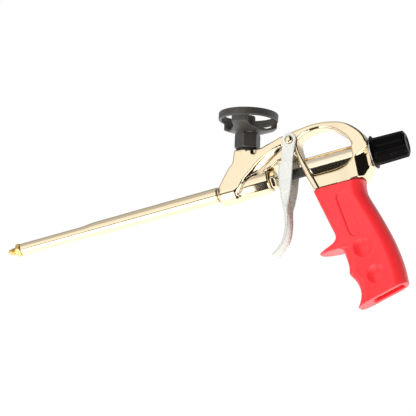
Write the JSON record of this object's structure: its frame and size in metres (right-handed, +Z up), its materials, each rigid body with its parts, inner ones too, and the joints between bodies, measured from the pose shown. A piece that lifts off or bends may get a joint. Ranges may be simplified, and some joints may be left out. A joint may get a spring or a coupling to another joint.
{
  "type": "foam applicator gun",
  "caption": "Hand-held expanding-foam gun: slender barrel with brass tip, can adapter basket, hinged trigger working a needle valve, rear flow knob and red moulded grip.",
  "frame": {"origin": "centre of the can seat, on the adapter's axis at the flat floor of the basket", "axes": "+X along the barrel from the nozzle towards the flow knob, +Z up with the barrel level, Y across the gun with its mid-plane at 0"},
  "size_m": [0.3344, 0.0466, 0.1779],
  "materials": {
    "nickel_plate": "polished warm nickel plate",
    "brass": "turned, bright",
    "bright_steel": "bright turned steel",
    "satin_steel": "satin nickel-plated sheet",
    "dark_coating": "dark grey slightly grainy coating",
    "black_plastic": "matte black",
    "gloss_black": "glossy black",
    "black_rubber": "matte seal rubber",
    "white_plastic": "pale sealing plastic",
    "red_plastic": "semi-gloss red moulding"
  },
  "bodies": {
    "frame": {"body_casting": "nickel_plate", "barrel": "nickel_plate", "barrel_collar": "nickel_plate", "barrel_seal": "black_rubber", "nozzle_tip": "brass", "packing_seal_front": "white_plastic", "packing_spacer": "brass", "packing_seal_rear": "white_plastic", "gland_nut": "nickel_plate", "spring_housing": "nickel_plate", "housing_bush": "brass", "adapter_basket": "dark_coating", "adapter_seal": "black_rubber", "valve_insert": "dark_coating", "ball_spring": "bright_steel", "return_spring": "bright_steel", "pivot_rivet": "nickel_plate", "handle_shell": "red_plastic", "handle_screw": "bright_steel", "port_plug": "nickel_plate", "hub_washer": "white_plastic"},
    "trigger": {"trigger": "satin_steel"},
    "needle": {"needle_rod": "bright_steel", "needle_tip": "white_plastic", "rod_collar": "black_plastic", "spring_seat": "bright_steel"},
    "stop_screw": {"adjusting_screw": "bright_steel"},
    "knob": {"flow_knob": "gloss_black", "knob_cap": "gloss_black", "knob_screw": "bright_steel"},
    "ball": {"valve_ball": "bright_steel"}
  },
  "joints": [
    {"name": "trigger_squeeze", "type": "hinge", "parent": "frame", "child": "trigger", "pos_m": [0.03288, 0, -0.02051], "axis": [0, -1, 0], "range_deg": [0, 15], "stiffness_Nm_per_rad": 2, "springref_deg": -8.59},
    {"name": "needle_slide", "type": "slide", "parent": "frame", "child": "needle", "axis": [1, 0, 0], "range_m": [0, 0.0066], "deforming": ["return_spring"]},
    {"name": "screw_travel", "type": "slide", "parent": "frame", "child": "stop_screw", "axis": [1, 0, 0], "range_m": [0, 0.00251]},
    {"name": "knob_turn", "type": "hinge", "parent": "stop_screw", "child": "knob", "pos_m": [0.10587, 0, -0.04551], "axis": [1, 0, 0], "range_deg": [0, 720]},
    {"name": "ball_lift", "type": "slide", "parent": "frame", "child": "ball", "axis": [-0.2334, 0, -0.9724], "range_m": [0, 0.0015], "stiffness_N_per_m": 300, "springref_m": -0.0004, "deforming": ["ball_spring"]}
  ],
  "couplings": [
    {"joint": "needle_slide", "follows": "trigger_squeeze", "m_per_rad": 0.025},
    {"joint": "screw_travel", "follows": "knob_turn", "m_per_rad": 0.00019894}
  ]
}
